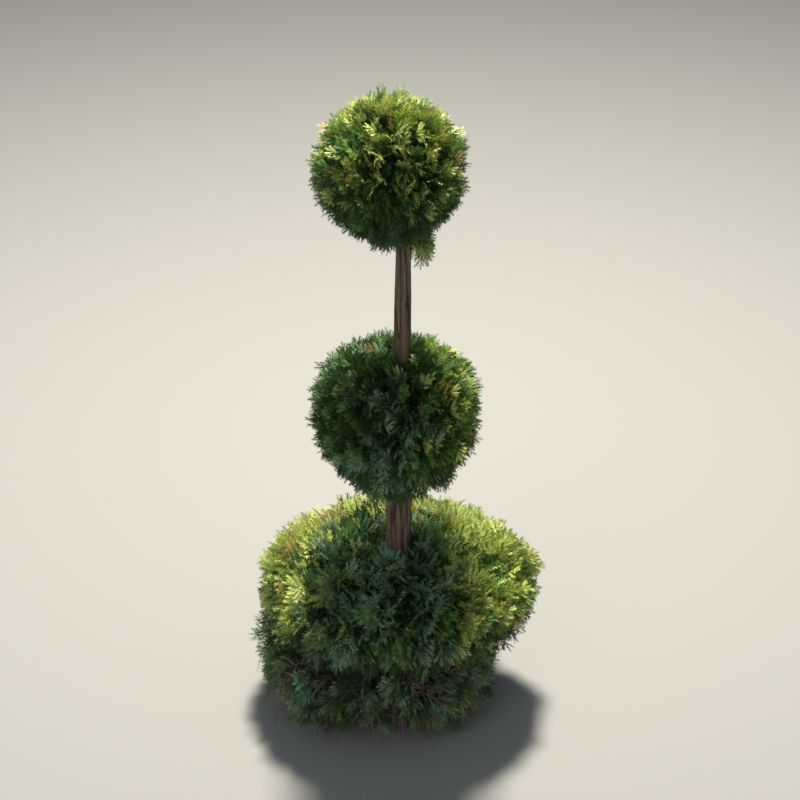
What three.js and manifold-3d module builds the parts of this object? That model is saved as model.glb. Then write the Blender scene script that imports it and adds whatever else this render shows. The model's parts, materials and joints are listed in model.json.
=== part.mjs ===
// Three-ball arborvitae topiary, field grown: one trunk with a clipped ball at its tip, a clipped ball
// at half height, and a broad looser ball that reaches down to the ground on low boughs.
// Millimetres, +Z up. The origin is the middle of the flat cut through the trunk at ground level,
// and the side that faces -Y is the front.
import * as THREE from "three";
import { mergeVertices } from "three/addons/utils/BufferGeometryUtils.js";
import Module from "manifold-3d";

const wasm = await Module();
wasm.setup();

// Driving dimensions of the balls. Each has its widest place at the height "middle", where "radius" is its
// half width and "deep" its depth as a share of its width. "shoulder" squares the upper half, 2 being an
// ellipse, and "pear" pulls the lower half in towards the trunk. "rise" is how far the sprays on its sides
// turn upwards, and "droop" how far those on its underside hang down.
const TOP_BALL = {
  middle: 1098, above: 140, below: 152, radius: 138, deep: 1, offset: [-2, 0],
  shoulder: 2, pear: 0.5, rise: 1.3, droop: 0, sprays: 66,
};
const MIDDLE_BALL = {
  middle: 640, above: 134, below: 192, radius: 158, deep: 1, offset: [10, 0],
  shoulder: 2.5, pear: 0.37, rise: 1.3, droop: 0, sprays: 66,
};
const BOTTOM_BALL = {
  middle: 240, above: 143, below: 136, radius: 273, deep: 0.86, offset: [9, 34],
  shoulder: 2.3, pear: 0.18, rise: 0.3, droop: 0.5, sprays: 106,
};
const TUFT = { end: [60, -34, 966], radius: 32, sprays: 4 }; // a loose tuft left hanging under the top ball

// Driving dimensions of the trunk
const TRUNK_STATIONS = [
  { height: 0, radius: 36 },
  { height: 45, radius: 29 },
  { height: 130, radius: 26 },
  { height: 300, radius: 24.5 },
  { height: 460, radius: 22 },
  { height: 640, radius: 17.5 },
  { height: 880, radius: 14 },
  { height: 1040, radius: 10 },
  { height: 1185, radius: 3.5 },
];
const TRUNK_SIDES = 12;
const TRUNK_RING_STEP = 78;
const LEAN = 0.025; // towards +X, for each millimetre of height
const SWAY = { reach: 6, across: 0.0037, phase: 0.3, along: 0.0043 }; // the slow bends on top of the lean
const FLARE = { lobes: 5, depth: 0.16, height: 34, turned: 0.7, rings: [12, 26] };
const CLEARANCE = 0.35; // the gap kept between a limb and what sits round it
const SPRAY_CLEARANCE = 3; // spray tips stay this far from the trunk

// Driving dimensions of the sprays and cores
const CORE_SHARE = 0.77; // the dense inside of a clipped ball, as a share of its outline
const TIP_SHARE = 1.035; // the sprays' tips may pass the outline by this much, as clipped tips stand proud
const CORE_DETAIL = 2;
const MERGE_WITHIN = 1e-4;
const BUMPS = { depth: 0.035, broad: 3, broadClimb: 2.2, fine: 5, fineClimb: 4.1 }; // left by the shears
const SINK = 15; // a spray's root lies this deep inside the core
const STALK_SHARE = 0.3; // the stalk's share of a spray's length
const WANDER = 0.6; // how far sprays stray from their ball's outward direction
const SPLAY = 0.9; // and how far they lean over at its top and bottom
const UNDERSIDE = -0.15; // sprays whose outward direction climbs less than this belong to the underside
const JITTER = 0.25; // and from even spacing round the ball, in radians
const FAN_TWIST = 1.3; // how far a fan may turn about its own axis from standing upright
const NEARLY_UPRIGHT = 0.22; // a spray that leans less than this has no upright plane to start from
const REACH_STEP = 2; // a spray is grown in steps of this length
// A fan starts this much too long, and while it leaves its space it is cut back to this share, so often
const FIT = { start: 1.3, shrink: 0.95, tries: 13 };

// A fan's lobes, each as [angle from the fan's axis in turns of a full circle, share of the fan's reach]
const LOBES = [[-0.19, 0.8], [-0.065, 1], [0.06, 0.93], [0.18, 0.76]];
const SKIRT_LOBES = [[-0.16, 0.8], [0, 1], [0.15, 0.74]];
const NOTCH_SHARE = 0.24;
const STALK_WIDTH = 0.1;
const FAN_THICKNESS = 5;

// Driving dimensions of the low boughs and of the skirt that hangs on them
const BOUGH = {
  height: 48, stagger: 6, levels: 3, length: 76, rise: 9, rootRadius: 7.5, tipRadius: 4.2, sides: 7,
};
const SKIRT = {
  count: 6,
  // How far the sprays reach from the trunk at the front, and how much further towards the other sides
  reach: { front: 120, left: 112, right: 80, back: 38 },
  flare: { front: 0.5, left: -0.3, right: -0.5, back: 0 }, // and for each millimetre of height
  floor: 6, // the lowest spray tips stay this far above the ground
  gap: 4, // between one mass and the next, and up to the ball
  stem: { front: 34, left: 104, right: 46, back: 34 }, // the lengths of the stems, likewise
  stemRise: 0.22, // for each millimetre of a stem's length
  stemTip: 2.4,
  stemSides: 5,
  rootSetBack: 4,
  sprays: 14,
  spread: [0.45, 1.6], // how far sprays turn off the stem, least and most
  climb: [-1.2, 0.6], // how far they turn down and up, least and most
  stalkShare: 0.28,
  longest: 104,
};
const SEEDS = { top: 20417, middle: 20418, bottom: 20479, skirt: 20480 };

const UP = new THREE.Vector3(0, 0, 1);
const TURN = 2 * Math.PI;
const GOLDEN_ANGLE = Math.PI * (3 - Math.sqrt(5));

// A seeded source of numbers from 0 to 1
function numbersFrom(seed) {
  let state = seed;
  return () => {
    state = (state + 0x6d2b79f5) | 0;
    let t = Math.imul(state ^ (state >>> 15), 1 | state);
    t = (t + Math.imul(t ^ (t >>> 7), 61 | t)) ^ t;
    return ((t ^ (t >>> 14)) >>> 0) / 4294967296;
  };
}

const between = (random, low, high) => low + (high - low) * random();

// The point at a distance from the upright axis, in the direction of an angle
function levelPoint(angle, distance, height) {
  return new THREE.Vector3(distance * Math.cos(angle), distance * Math.sin(angle), height);
}

// Closed meshes as solids, and back

function solidFrom(positions, triangles) {
  const points = new Float32Array(positions.flatMap((p) => [p.x, p.y, p.z]));
  const corners = new Uint32Array(triangles.flat());
  return new wasm.Manifold(new wasm.Mesh({ numProp: 3, vertProperties: points, triVerts: corners }));
}

function geometryOf(solid) {
  const mesh = solid.getMesh();
  const geometry = new THREE.BufferGeometry();
  geometry.setAttribute("position", new THREE.BufferAttribute(new Float32Array(mesh.vertProperties), 3));
  geometry.setIndex(new THREE.BufferAttribute(new Uint32Array(mesh.triVerts), 1));
  geometry.computeVertexNormals();
  return geometry;
}

// The largest piece: a scrap that a cut left loose is dropped
function wholePiece(solid) {
  return solid.decompose().reduce((best, piece) => (piece.volume() > best.volume() ? piece : best));
}

// A closed tube through rings of points, each ring with the same number of points
function loft(rings) {
  const sides = rings[0].length;
  const centre = (ring) => ring.reduce((sum, p) => sum.add(p), new THREE.Vector3()).divideScalar(sides);
  const points = [...rings.flat(), centre(rings[0]), centre(rings.at(-1))];
  const foot = points.length - 2;
  const head = points.length - 1;
  const last = (rings.length - 1) * sides;
  const triangles = [];
  for (let side = 0; side < sides; side++) {
    const next = (side + 1) % sides;
    triangles.push([foot, next, side], [head, last + side, last + next]);
    for (let start = 0; start < last; start += sides) {
      const [a, b, c, d] = [start + side, start + next, start + sides + side, start + sides + next];
      triangles.push([a, b, d], [a, d, c]);
    }
  }
  return solidFrom(points, triangles);
}

// A tapering limb through points, with a ring square to the limb at each
function limb(points, radii, sides) {
  const rings = points.map((point, i) => {
    const ahead = points[Math.min(i + 1, points.length - 1)];
    const behind = points[Math.max(i - 1, 0)];
    const along = ahead.clone().sub(behind).normalize();
    const across = along.clone().cross(UP).normalize();
    const over = across.clone().cross(along);
    return Array.from({ length: sides }, (_, k) => {
      const angle = (TURN * k) / sides;
      const out = across.clone().multiplyScalar(Math.cos(angle)).addScaledVector(over, -Math.sin(angle));
      return point.clone().addScaledVector(out, radii[i]);
    });
  });
  return loft(rings);
}

// The trunk

function trunkRadius(height) {
  const above = TRUNK_STATIONS.findIndex((station) => station.height >= height);
  if (above < 0) return TRUNK_STATIONS.at(-1).radius;
  if (above === 0) return TRUNK_STATIONS[0].radius;
  const [low, high] = [TRUNK_STATIONS[above - 1], TRUNK_STATIONS[above]];
  return THREE.MathUtils.mapLinear(height, low.height, high.height, low.radius, high.radius);
}

function trunkMiddle(height) {
  const sway = (SWAY.reach * height) / TRUNK_STATIONS.at(-1).height;
  const x = LEAN * height + sway * Math.sin(SWAY.across * height + SWAY.phase);
  return new THREE.Vector3(x, sway * Math.sin(SWAY.along * height), height);
}

function trunkSolid(extra) {
  const tip = TRUNK_STATIONS.at(-1).height;
  const heights = new Set(TRUNK_STATIONS.map((station) => station.height).concat(FLARE.rings));
  for (let height = TRUNK_RING_STEP; height < tip - TRUNK_RING_STEP / 2; height += TRUNK_RING_STEP) {
    if (![...heights].some((kept) => Math.abs(kept - height) < TRUNK_RING_STEP / 3)) heights.add(height);
  }
  const rings = [...heights].sort((a, b) => a - b).map((height) => {
    const middle = trunkMiddle(height);
    if (height === tip) middle.z += extra;
    if (height === 0) middle.z -= extra;
    return Array.from({ length: TRUNK_SIDES }, (_, side) => {
      const angle = (TURN * side) / TRUNK_SIDES;
      const fade = Math.exp(-height / FLARE.height);
      const lobe = FLARE.depth * Math.cos(FLARE.lobes * angle + FLARE.turned) * fade;
      const radius = trunkRadius(height) * (1 + lobe) + extra;
      return new THREE.Vector3(radius * Math.cos(angle), radius * Math.sin(angle), 0).add(middle);
    });
  });
  return loft(rings);
}

// The balls: each outline is a profile turned about an upright line, with the bumps that clipping leaves

function profileRadius(ball, height) {
  const rise = height - ball.middle;
  const t = Math.abs(rise) / (rise > 0 ? ball.above : ball.below);
  if (t >= 1) return 0;
  if (rise > 0) return ball.radius * (1 - t ** ball.shoulder) ** (1 / ball.shoulder);
  return ball.radius * (1 - ball.pear * t * t) * Math.sqrt(1 - t * t);
}

function bump(ball, angle, height) {
  const climb = (height - ball.middle) / ball.radius;
  const broad = Math.sin(BUMPS.broad * angle + BUMPS.broadClimb * climb + ball.middle);
  const fine = Math.sin(BUMPS.fine * angle - BUMPS.fineClimb * climb);
  return 1 + (BUMPS.depth * (broad + fine)) / 2;
}

// Where a point lies round a ball's upright axis, once the ball's depth is drawn out to its width
function roundBall(ball, point) {
  const x = point.x - ball.offset[0];
  const y = (point.y - ball.offset[1]) / ball.deep;
  return { away: Math.hypot(x, y), angle: Math.atan2(y, x) };
}

function insideBall(ball, point, share = 1) {
  const { away, angle } = roundBall(ball, point);
  return away <= profileRadius(ball, point.z) * bump(ball, angle, point.z) * share;
}

function ballMiddle(ball) {
  return new THREE.Vector3(ball.offset[0], ball.offset[1], ball.middle);
}

// The point that lies in a direction from the ball's middle, at a share of the way to its outline
function ballPoint(ball, direction, share) {
  const middle = ballMiddle(ball);
  const halvings = 24;
  let [low, high] = [0, 2 * ball.radius];
  for (let step = 0; step < halvings; step++) {
    const reach = (low + high) / 2;
    if (insideBall(ball, middle.clone().addScaledVector(direction, reach))) low = reach;
    else high = reach;
  }
  return middle.addScaledVector(direction, low * share);
}

function coreSolid(ball) {
  const sphere = new THREE.IcosahedronGeometry(1, CORE_DETAIL);
  sphere.deleteAttribute("normal");
  sphere.deleteAttribute("uv");
  const merged = mergeVertices(sphere, MERGE_WITHIN);
  const spots = merged.getAttribute("position");
  const points = Array.from({ length: spots.count }, (_, i) =>
    ballPoint(ball, new THREE.Vector3().fromBufferAttribute(spots, i).normalize(), CORE_SHARE));
  const index = merged.getIndex().array;
  const triangles = Array.from({ length: index.length / 3 }, (_, i) => [...index.slice(3 * i, 3 * i + 3)]);
  return solidFrom(points, triangles);
}

// The tuft's space: a round-ended column from the middle of the top ball
function insideTuft(point) {
  const line = new THREE.Line3(ballMiddle(TOP_BALL), new THREE.Vector3(...TUFT.end));
  return line.closestPointToPoint(point, true, new THREE.Vector3()).distanceTo(point) < TUFT.radius;
}

// Sprays of scale leaves: each is one flat fan of lobes that spread from its heart, thickest there,
// with a stalk running back to the root

function fan(lobes, root, heart, flat, reach) {
  const along = heart.clone().sub(root).normalize();
  const across = along.clone().cross(flat).normalize();
  const over = across.clone().cross(along).normalize();
  const spot = (turns, distance) => heart.clone()
    .addScaledVector(across, distance * Math.sin(turns * TURN))
    .addScaledVector(along, distance * Math.cos(turns * TURN));
  const rim = lobes.flatMap(([turns, share], i) => {
    const tip = spot(turns, share * reach);
    if (i === lobes.length - 1) return [tip];
    const [nextTurns, nextShare] = lobes[i + 1];
    return [tip, spot((turns + nextTurns) / 2, NOTCH_SHARE * (share + nextShare) * reach)];
  });
  const stalk = [1, -1].map((side) => heart.clone().addScaledVector(across, side * STALK_WIDTH * reach)
    .addScaledVector(along, -STALK_WIDTH * reach));
  const outline = [...rim, stalk[0], root, stalk[1]];
  const faces = [1, -1].map((side) => heart.clone().addScaledVector(over, side * FAN_THICKNESS / 2));
  const count = outline.length;
  const triangles = outline.flatMap((_, i) => {
    const next = (i + 1) % count;
    return [[next, i, count], [i, next, count + 1]];
  });
  return { solid: solidFrom([...outline, ...faces], triangles), rim };
}

// How far a line can run from a point before it leaves a space
function reachInside(space, from, along, longest) {
  let reach = 0;
  while (reach < longest && space(from.clone().addScaledVector(along, reach + REACH_STEP))) {
    reach += REACH_STEP;
  }
  return reach;
}

// A fan grown along a line until its tip meets the edge of the space, or none where its lobes would leave it
function sprayAlong(space, lobes, root, along, flat, stalkShare, longest) {
  const length = reachInside(space, root, along, longest);
  const heart = root.clone().addScaledVector(along, stalkShare * length);
  let reach = FIT.start * (1 - stalkShare) * length;
  for (let attempt = 0; attempt < FIT.tries; attempt++) {
    const made = fan(lobes, root, heart, flat, reach);
    if (made.rim.every(space)) return made.solid;
    reach *= FIT.shrink;
  }
  return null;
}

// A flat direction square to a spray's axis, turned so that most fans stand upright
function fanFlat(along, random) {
  const upright = along.clone().cross(UP);
  if (upright.length() < NEARLY_UPRIGHT) upright.set(1, 0, 0).cross(along);
  const turned = upright.normalize().applyAxisAngle(along, between(random, -FAN_TWIST, FAN_TWIST));
  return turned.addScaledVector(along, -turned.dot(along)).normalize();
}

// A clipped ball is a core with sprays that grow out of it, evenly spread, plus any that fill its tufts
function clippedBall(ball, space, tuft, trunkRoom, random) {
  let mass = coreSolid(ball);
  const grow = (out, rise, splay) => {
    const root = ballPoint(ball, out, CORE_SHARE).addScaledVector(out, -SINK);
    const wander = new THREE.Vector3(random() - 0.5, random() - 0.5, random() - 0.5).multiplyScalar(WANDER);
    const over = levelPoint(TURN * random(), splay, 0);
    const along = out.clone().addScaledVector(UP, rise).add(wander).add(over).normalize();
    const spray = sprayAlong(space, LOBES, root, along, fanFlat(along, random), STALK_SHARE, ball.radius);
    if (spray) mass = mass.add(spray);
  };
  for (let i = 0; i < ball.sprays; i++) {
    const z = 1 - (2 * (i + 0.5)) / ball.sprays;
    const angle = i * GOLDEN_ANGLE + between(random, -JITTER, JITTER);
    const out = new THREE.Vector3(Math.cos(angle), Math.sin(angle), 0).multiplyScalar(Math.sqrt(1 - z * z));
    out.z = z;
    grow(out, (z > UNDERSIDE ? ball.rise : -ball.droop) * (1 - Math.abs(z)), SPLAY * z * z);
  }
  if (tuft) {
    const out = new THREE.Vector3(...tuft.end).sub(ballMiddle(ball)).normalize();
    for (let i = 0; i < tuft.sprays; i++) grow(out, 0, 0);
  }
  return wholePiece(mass.subtract(trunkRoom));
}

// The low boughs and the loose skirt of sprays that each one carries under the bottom ball

function lowBough(angle, height, trunkRoom) {
  const shares = [0, 0.5, 1];
  const points = shares.map((share) =>
    levelPoint(angle, BOUGH.length * share, height + BOUGH.rise * share * share));
  const radii = shares.map((share) => THREE.MathUtils.lerp(BOUGH.rootRadius, BOUGH.tipRadius, share));
  return { solid: wholePiece(limb(points, radii, BOUGH.sides).subtract(trunkRoom)), tip: points.at(-1) };
}

function underBall(point) {
  const outline = profileRadius(BOTTOM_BALL, point.z) * (1 + BUMPS.depth) * TIP_SHARE;
  return point.z < BOTTOM_BALL.middle && roundBall(BOTTOM_BALL, point).away > outline + SKIRT.gap;
}

// A length that grows as the direction turns from the front to the left, the right or the back
function towards(angle, { front, left, right, back }) {
  const [x, y] = [Math.cos(angle), Math.sin(angle)];
  return front + Math.abs(x) * (x < 0 ? left : right) + Math.max(0, y) * back;
}

// The wedge under the ball that belongs to the bough at an angle
function skirtSpace(angle) {
  const half = TURN / SKIRT.count / 2;
  return (point) => {
    const distance = Math.hypot(point.x, point.y);
    const direction = Math.atan2(point.y, point.x);
    const offset = direction - angle;
    const turn = Math.abs(Math.atan2(Math.sin(offset), Math.cos(offset)));
    const outer = towards(direction, SKIRT.reach) + towards(direction, SKIRT.flare) * point.z;
    return point.z > SKIRT.floor && distance > BOUGH.length && distance < outer
      && distance * Math.sin(half - turn) > SKIRT.gap / 2 && underBall(point);
  };
}

function skirtMass(angle, tip, random) {
  const space = skirtSpace(angle);
  const outward = levelPoint(angle, 1, 0);
  const across = outward.clone().cross(UP);
  const start = tip.clone().addScaledVector(outward, CLEARANCE);
  const length = towards(angle, SKIRT.stem);
  const end = start.clone().addScaledVector(outward, length).addScaledVector(UP, SKIRT.stemRise * length);
  let mass = limb([start, end], [BOUGH.tipRadius, SKIRT.stemTip], SKIRT.stemSides);
  for (let i = 0; i < SKIRT.sprays; i++) {
    const share = (i + 0.5) / SKIRT.sprays;
    const root = start.clone().lerp(end, share).addScaledVector(outward, -SKIRT.rootSetBack * share);
    const side = (i % 2 ? 1 : -1) * between(random, ...SKIRT.spread) * (1 - share / 2);
    const climb = between(random, ...SKIRT.climb);
    const along = outward.clone().addScaledVector(across, side).addScaledVector(UP, climb).normalize();
    const spray = sprayAlong(
      space, SKIRT_LOBES, root, along, fanFlat(along, random), SKIRT.stalkShare, SKIRT.longest);
    if (spray) mass = mass.add(spray);
  }
  return wholePiece(mass);
}

// Colours and finishes

const BARK = new THREE.MeshStandardMaterial({ color: 0x7a6353, roughness: 0.92, metalness: 0 });
const CLIPPED_GREEN = new THREE.MeshStandardMaterial({ color: 0x4f6f26, roughness: 0.6, metalness: 0 });
const SHADED_GREEN = new THREE.MeshStandardMaterial({ color: 0x35502a, roughness: 0.65, metalness: 0 });

// The plant

const plant = new THREE.Group();

function addPiece(name, solid, material) {
  const mesh = new THREE.Mesh(geometryOf(solid), material);
  mesh.name = name;
  plant.add(mesh);
}

function clearOfTrunk(point) {
  const middle = trunkMiddle(Math.max(0, point.z));
  return Math.hypot(point.x - middle.x, point.y - middle.y) > trunkRadius(point.z) + SPRAY_CLEARANCE;
}

const trunkRoom = trunkSolid(CLEARANCE);
addPiece("trunk", trunkSolid(0), BARK);

const topSpace = (point) => insideBall(TOP_BALL, point, TIP_SHARE) || insideTuft(point);
const topBall = clippedBall(TOP_BALL, topSpace, TUFT, trunkRoom, numbersFrom(SEEDS.top));
addPiece("top_ball", topBall, CLIPPED_GREEN);

const middleSpace = (point) => insideBall(MIDDLE_BALL, point, TIP_SHARE) && clearOfTrunk(point);
const middleBall = clippedBall(MIDDLE_BALL, middleSpace, null, trunkRoom, numbersFrom(SEEDS.middle));
addPiece("middle_ball", middleBall, CLIPPED_GREEN);

const bottomSpace = (point) => insideBall(BOTTOM_BALL, point, TIP_SHARE) && clearOfTrunk(point);
const bottomBall = clippedBall(BOTTOM_BALL, bottomSpace, null, trunkRoom, numbersFrom(SEEDS.bottom));
addPiece("bottom_ball", bottomBall, CLIPPED_GREEN);

const skirtNumbers = numbersFrom(SEEDS.skirt);
for (let k = 0; k < SKIRT.count; k++) {
  const angle = (TURN * (k + 0.5)) / SKIRT.count;
  const height = BOUGH.height + BOUGH.stagger * (k % BOUGH.levels);
  const bough = lowBough(angle, height, trunkRoom);
  addPiece(`low_bough_${k + 1}`, bough.solid, BARK);
  addPiece(`skirt_${k + 1}`, skirtMass(angle, bough.tip, skirtNumbers), SHADED_GREEN);
}

export default plant;
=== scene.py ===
# %% [markdown]
# # An arborvitae trained as stacked clipped balls
# The plant is a young evergreen whose flat sprays are built of scale leaves. It was grown on one trunk,
# its side branches were taken off between the balls, and shears keep each ball round. The lowest ball is
# broader and looser than the others, and a skirt of low boughs hangs under it. Everything is in metres, in
# the axes of the fixed frame: +Z up, the ground at zero, and the side towards -Y facing the camera.

# %% Load the fixed frame
import json
import math
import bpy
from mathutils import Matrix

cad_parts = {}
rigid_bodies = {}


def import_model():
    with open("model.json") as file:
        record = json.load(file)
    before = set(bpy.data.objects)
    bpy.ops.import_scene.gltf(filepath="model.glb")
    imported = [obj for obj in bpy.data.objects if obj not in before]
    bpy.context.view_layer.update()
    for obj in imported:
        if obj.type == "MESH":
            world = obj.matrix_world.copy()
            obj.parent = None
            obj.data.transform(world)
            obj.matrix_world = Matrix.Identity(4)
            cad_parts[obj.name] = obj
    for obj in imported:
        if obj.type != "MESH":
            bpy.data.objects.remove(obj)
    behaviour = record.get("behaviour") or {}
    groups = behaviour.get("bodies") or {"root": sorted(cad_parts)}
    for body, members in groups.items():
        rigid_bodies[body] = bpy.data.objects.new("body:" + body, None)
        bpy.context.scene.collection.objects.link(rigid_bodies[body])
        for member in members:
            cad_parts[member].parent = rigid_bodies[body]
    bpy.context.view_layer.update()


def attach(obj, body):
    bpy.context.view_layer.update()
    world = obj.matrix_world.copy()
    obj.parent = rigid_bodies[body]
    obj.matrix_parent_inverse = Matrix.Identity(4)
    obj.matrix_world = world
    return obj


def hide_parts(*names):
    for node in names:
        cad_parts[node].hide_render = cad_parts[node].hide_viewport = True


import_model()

from types import SimpleNamespace as Sizes

import bpy
import numpy as np
from mathutils import Matrix, Vector, kdtree, noise

# %% [markdown]
# ## The outline of a ball
# Shears keep each ball round, and what shows of it is where its sprays end. It could be sculpted as a
# surface, but the tips only need a rule to stand on, and it is the one that gives the frame its outlines: a
# profile turned about an upright line. "middle" is the height of the widest place, "deep" the depth as a
# share of the width, "shoulder" squares the upper half, and "pear" pulls the lower half in towards the
# trunk. Clipping leaves shallow bumps. The sprays and twigs are more than in the frame, and their roots lie
# deeper, but the outline is the same.

# %% Sizes of the balls
GOLDEN_ANGLE = math.pi * (3 - math.sqrt(5))
UP = np.array([0.0, 0.0, 1.0])
BALLS = {
    "top_ball": Sizes(
        middle=1.098, above=0.140, below=0.152, radius=0.138, deep=1.0, offset=(-0.002, 0.0),
        shoulder=2.0, pear=0.50, rise=0.45, droop=0.05, loose=0.009, fringe=0.0,
        sprays=1700, twigs=230, boughs=34, length=0.052, depth=0.070),
    "middle_ball": Sizes(
        middle=0.640, above=0.134, below=0.192, radius=0.158, deep=1.0, offset=(0.010, 0.0),
        shoulder=2.5, pear=0.37, rise=0.40, droop=0.10, loose=0.007, fringe=0.004,
        sprays=2100, twigs=270, boughs=40, length=0.054, depth=0.074),
    "bottom_ball": Sizes(
        middle=0.240, above=0.143, below=0.136, radius=0.273, deep=0.86, offset=(0.009, 0.034),
        shoulder=2.3, pear=0.18, rise=0.05, droop=1.0, loose=0.014, fringe=0.034,
        sprays=3500, twigs=380, boughs=64, length=0.074, depth=0.090),
}
PROFILE_STEPS = 400
ANGLE_JITTER = 0.25
BUMPS = Sizes(depth=0.035, broad=3, broad_climb=2.2, fine=5, fine_climb=4.1, phase=1000)
for name, ball in BALLS.items():
    print(name, "from", round(ball.middle - ball.below, 3), "to", round(ball.middle + ball.above, 3), "m")


# %% The rule of the outline
def profile_radius(ball, height):
    """The half width of a ball at each height"""
    rise = height - ball.middle
    t = np.clip(np.abs(rise) / np.where(rise > 0, ball.above, ball.below), 0, 1)
    shoulder = ball.shoulder
    upper = (1 - t ** shoulder) ** (1 / shoulder)
    lower = (1 - ball.pear * t * t) * np.sqrt(1 - t * t)
    return ball.radius * np.where(rise > 0, upper, lower)


def bump(ball, angle, height):
    """The share by which clipping leaves the ball off its smooth profile"""
    climb = (height - ball.middle) / ball.radius
    phase = ball.middle * BUMPS.phase
    broad = np.sin(BUMPS.broad * angle + BUMPS.broad_climb * climb + phase)
    fine = np.sin(BUMPS.fine * angle - BUMPS.fine_climb * climb)
    return 1 + BUMPS.depth * (broad + fine) / 2


def outline_points(ball, count, random):
    """Points spread evenly over a ball's outline on a golden-angle spiral, and which way is out there"""
    turn = np.linspace(-math.pi / 2, math.pi / 2, PROFILE_STEPS)
    heights = ball.middle + np.where(turn > 0, ball.above, ball.below) * np.sin(turn)
    radii = profile_radius(ball, heights)
    steps = np.hypot(np.diff(heights), np.diff(radii))
    area = np.concatenate([[0], np.cumsum(steps * (radii[1:] + radii[:-1]) / 2)])
    wanted = (np.arange(count) + 0.5) / count * area[-1]
    height = np.interp(wanted, area, heights)
    climb = np.interp(wanted, area, np.gradient(heights))
    widen = np.interp(wanted, area, np.gradient(radii))
    angle = np.arange(count) * GOLDEN_ANGLE + random.uniform(-ANGLE_JITTER, ANGLE_JITTER, count)
    radius = profile_radius(ball, height) * bump(ball, angle, height)
    x, y = np.cos(angle), np.sin(angle)
    middle_x, middle_y = ball.offset
    spots = np.stack([x * radius + middle_x, y * radius * ball.deep + middle_y, height], 1)
    outward = unit(np.stack([x * climb, y * climb / ball.deep, -widen], 1))
    return spots, outward


def unit(vectors):
    """Vectors brought to a length of one"""
    return vectors / np.linalg.norm(vectors, axis=-1, keepdims=True)


widest = profile_radius(BALLS["top_ball"], BALLS["top_ball"].middle)
print("the top ball's half width at its widest", round(float(widest), 3), "m")

# %% [markdown]
# ## The line of the trunk
# The trunk tapers in stations, leans to the right, sways a little and flares into root lobes at the ground.
# Its middle line and radius are functions of the height, because the twigs start on them as well.

# %% Sizes of the trunk
TRUNK_STATIONS = [
    (0.0, 0.036), (0.045, 0.029), (0.130, 0.026), (0.300, 0.0245), (0.460, 0.022),
    (0.640, 0.0175), (0.880, 0.014), (1.040, 0.010), (1.185, 0.0035),
]
TRUNK_TIP = TRUNK_STATIONS[-1][0]
LEAN = 0.025
SWAY = Sizes(reach=0.006, across=3.7, phase=0.3, along=4.3)
FLARE = Sizes(lobes=5, depth=0.16, height=0.034, turned=0.7)


def trunk_radius(height):
    """The trunk's radius at each height"""
    stations = np.array(TRUNK_STATIONS)
    return np.interp(height, stations[:, 0], stations[:, 1])


def trunk_middle(height):
    """The middle of the trunk at each height"""
    height = np.asarray(height, float)
    sway = SWAY.reach * height / TRUNK_TIP
    x = LEAN * height + sway * np.sin(SWAY.across * height + SWAY.phase)
    return np.stack([x, sway * np.sin(SWAY.along * height), height], -1)


def clear_of_trunk(points, room):
    """Which points keep a distance from the trunk"""
    height = np.clip(points[:, 2], 0, TRUNK_TIP)
    away = np.linalg.norm(points[:, :2] - trunk_middle(height)[:, :2], axis=1)
    return (away > trunk_radius(height) + room) | (points[:, 2] > TRUNK_TIP + room)


print("trunk middle at 0.85 m", trunk_middle(0.85).round(3), "radius", float(trunk_radius(0.85)))

# %% [markdown]
# ## Wiring nodes
# Nodes could be joined by hand in the editor, but a script makes the same tree each time. A wire wraps a
# socket, so that sums on it read as sums and add the Math nodes by themselves. Every other node comes from
# one method, which takes the node's type, its settings and what goes into its sockets.


# %% A board for wiring nodes
class Wire:
    """A node's output that can be used in sums"""

    def __init__(self, board, socket):
        self.board = board
        self.socket = socket

    def maths(self, operation, first, second):
        return self.board.node("ShaderNodeMath", {"operation": operation}, {0: first, 1: second})

    def __add__(self, other):
        return self.maths("ADD", self, other)

    def __mul__(self, other):
        return self.maths("MULTIPLY", self, other)

    __radd__ = __add__
    __rmul__ = __mul__


class Board:
    """A node tree with a short way to add and join its nodes"""

    def __init__(self, tree):
        self.tree = tree

    @staticmethod
    def find(sockets, key):
        if isinstance(key, int):
            return sockets[key]
        return next((s for s in sockets if s.identifier == key), None) or sockets[key]

    def node(self, kind, settings=None, inputs=None, out=0):
        made = self.tree.nodes.new(kind)
        for name, value in (settings or {}).items():
            setattr(made, name, value)
        for key, value in (inputs or {}).items():
            socket = self.find(made.inputs, key)
            if isinstance(value, Wire):
                self.tree.links.new(value.socket, socket)
            else:
                socket.default_value = value
        return Wire(self, self.find(made.outputs, out)) if len(made.outputs) else made


print("node board ready")

# %% [markdown]
# ## Growing and settling pieces
# What repeats is grown by a geometry tree on a base mesh. It could stay live, but the export drops
# instances, so each tree ends in real meshes with one material, and the result is kept as a plain mesh.


# %% Growing pieces
def new_tree(name, inputs):
    """A geometry tree with named inputs, its board, and a wire for each input"""
    tree = bpy.data.node_groups.new(name, "GeometryNodeTree")
    for label, kind in inputs.items():
        tree.interface.new_socket(label, in_out="INPUT", socket_type=kind)
    tree.interface.new_socket("Geometry", in_out="OUTPUT", socket_type="NodeSocketGeometry")
    board = Board(tree)
    entry = tree.nodes.new("NodeGroupInput")
    return tree, board, {label: Wire(board, entry.outputs[label]) for label in inputs}


def close_tree(board, shape, finish):
    """Ends a geometry tree: real meshes instead of instances, with one material"""
    real = board.node("GeometryNodeRealizeInstances", inputs={"Geometry": shape})
    painted = board.node("GeometryNodeSetMaterial", inputs={"Geometry": real, "Material": finish})
    board.tree.links.new(painted.socket, board.tree.nodes.new("NodeGroupOutput").inputs[0])


def in_scene(name, data):
    """A new object in the scene for a mesh, a lamp or a camera"""
    made = bpy.data.objects.new(name, data)
    bpy.context.scene.collection.objects.link(made)
    return made


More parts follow.
